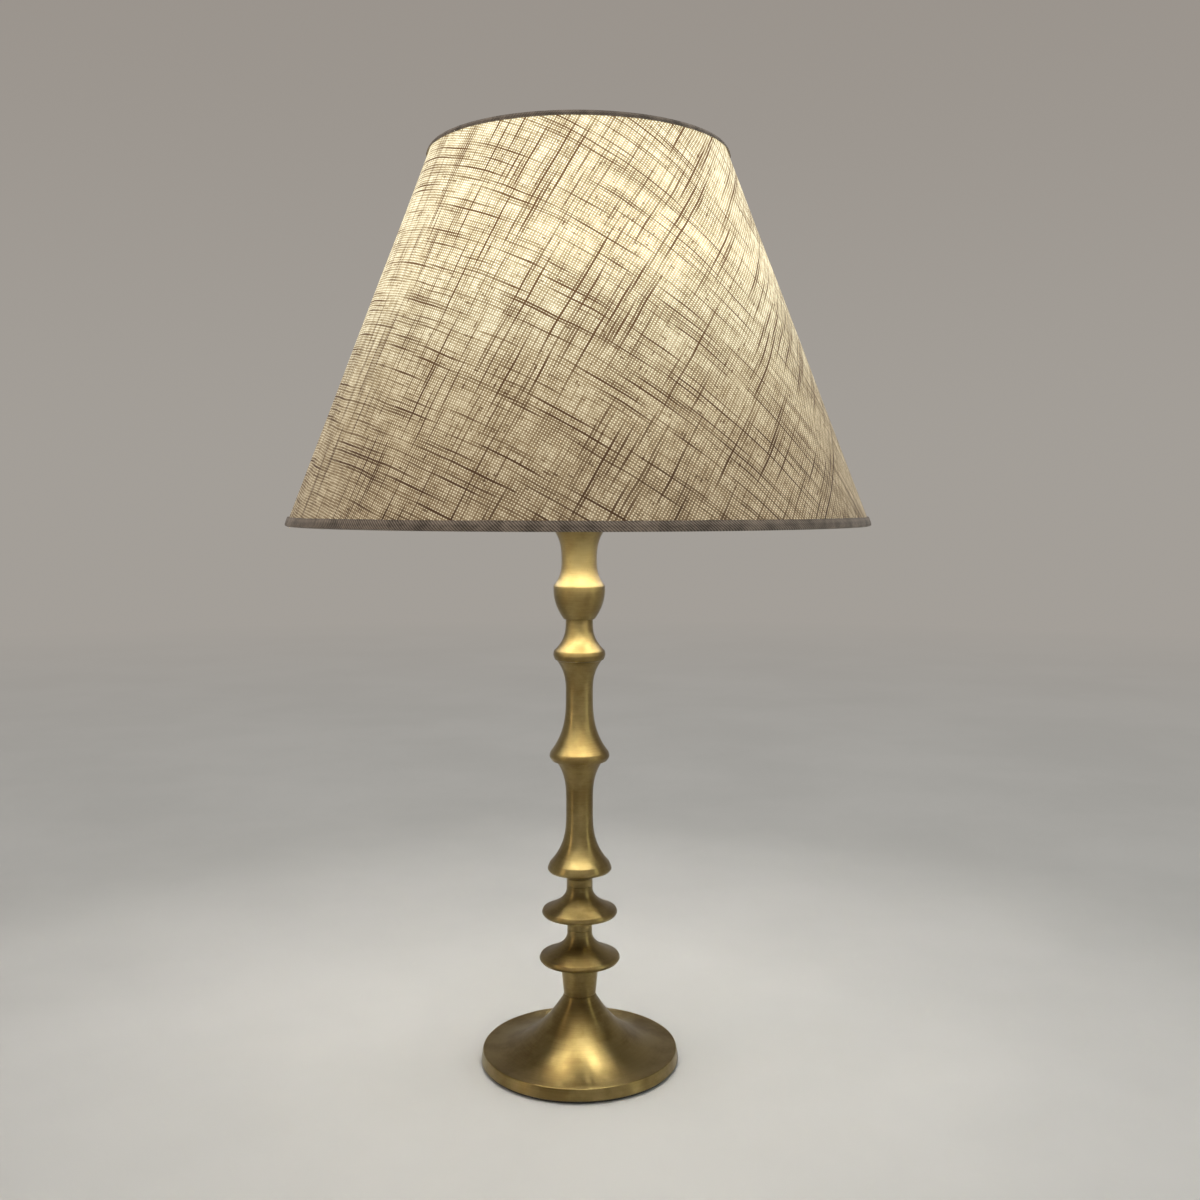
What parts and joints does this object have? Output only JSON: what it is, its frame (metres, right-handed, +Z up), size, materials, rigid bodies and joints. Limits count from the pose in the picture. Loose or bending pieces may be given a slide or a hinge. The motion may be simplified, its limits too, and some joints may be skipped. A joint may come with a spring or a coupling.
{
  "type": "table lamp",
  "caption": "Table lamp with a turned brass stem on a weighted trumpet foot, a switched screw lampholder and a tapered linen shade.",
  "frame": {"origin": "on the table under the lamp's axis, at the middle of the underside of the felt pad", "axes": "+Z up along the stem's axis, -Y towards the front of the lamp as pictured, the cord outlet at +Y"},
  "size_m": [0.2996, 0.2996, 0.4772],
  "materials": {
    "stem_brass": "satin, brushed round the turning, darkened and lacquered",
    "holder_brass": "satin",
    "steel": "zinc plated",
    "iron": "rough cast",
    "felt": "pressed felt",
    "nylon": "moulded",
    "bakelite": "moulded, semi gloss",
    "porcelain": "glazed",
    "washer_plastic": "moulded",
    "frame_wire": "off-white powder coat on steel",
    "shade_liner": "translucent film, satin",
    "shade_linen": "open slub linen weave",
    "shade_hem": "rolled linen hem",
    "bulb_cap": "bright",
    "bulb_insulator": "gloss",
    "bulb_body": "moulded",
    "bulb_board": "white solder mask",
    "bulb_glass": "opal, lit warm white"
  },
  "bodies": {
    "base": {"felt_pad": "felt", "base_plate": "steel", "base_foot": "stem_brass", "base_weight": "iron", "cord_bush": "nylon", "threaded_tube": "steel", "tube_washer": "steel", "tube_nut": "steel", "stem_collar": "stem_brass", "stem_lower_disc": "stem_brass", "stem_upper_disc": "stem_brass", "stem_lower_column": "stem_brass", "stem_upper_column": "stem_brass", "stem_neck_ring": "stem_brass", "stem_bowl": "stem_brass", "stem_cup": "stem_brass", "holder_cap": "holder_brass", "holder_grub_screw": "steel", "holder_lock_nut": "holder_brass", "switch_block": "bakelite", "porcelain_insert": "porcelain", "terminal_live": "holder_brass", "terminal_neutral": "holder_brass", "terminal_screw_live": "steel", "terminal_screw_neutral": "steel", "insert_screw_front": "steel", "insert_screw_rear": "steel", "centre_contact": "holder_brass", "screw_shell": "holder_brass", "holder_skirt": "holder_brass", "lower_shade_ring": "holder_brass"},
    "switch": {"switch_bar": "bakelite", "switch_button_left": "bakelite", "switch_button_right": "bakelite"},
    "bulb_tip": {"bulb_contact": "bulb_cap"},
    "bulb": {"bulb_insulator": "bulb_insulator", "bulb_cap": "bulb_cap", "bulb_body": "bulb_body", "bulb_led_board": "bulb_board", "bulb_globe": "bulb_glass"},
    "washer": {"shade_washer": "washer_plastic"},
    "clamp_ring": {"upper_shade_ring": "holder_brass"},
    "shade": {"fitter_ring": "frame_wire", "spider_arm_1": "frame_wire", "spider_arm_2": "frame_wire", "spider_arm_3": "frame_wire", "bottom_wire_ring": "frame_wire", "top_wire_ring": "frame_wire", "shade_liner": "shade_liner", "shade_fabric": "shade_linen", "bottom_hem": "shade_hem", "top_hem": "shade_hem"}
  },
  "joints": [
    {"name": "switch_push", "type": "slide", "parent": "base", "child": "switch", "axis": [-1, 0, 0], "range_m": [0, 0.005]},
    {"name": "bulb_draw", "type": "slide", "parent": "base", "child": "bulb_tip", "axis": [0, 0, 1], "range_m": [0, 0.01815]},
    {"name": "bulb_turn", "type": "hinge", "parent": "bulb_tip", "child": "bulb", "pos_m": [0, 0, 0.34], "axis": [0, 0, 1], "range_deg": [0, 1800]},
    {"name": "ring_lift", "type": "slide", "parent": "base", "child": "washer", "axis": [0, 0, 1], "range_m": [0, 0.0201]},
    {"name": "ring_turn", "type": "hinge", "parent": "washer", "child": "clamp_ring", "pos_m": [0, 0, 0.325], "axis": [0, 0, 1], "range_deg": [0, 2880]},
    {"name": "shade_turn", "type": "hinge", "parent": "base", "child": "shade", "pos_m": [0, 0, 0.32], "axis": [0, 0, 1], "continuous": true}
  ],
  "couplings": [
    {"joint": "bulb_draw", "follows": "bulb_turn", "m_per_rad": 0.00057757},
    {"joint": "ring_lift", "follows": "ring_turn", "m_per_rad": 0.00039789}
  ]
}
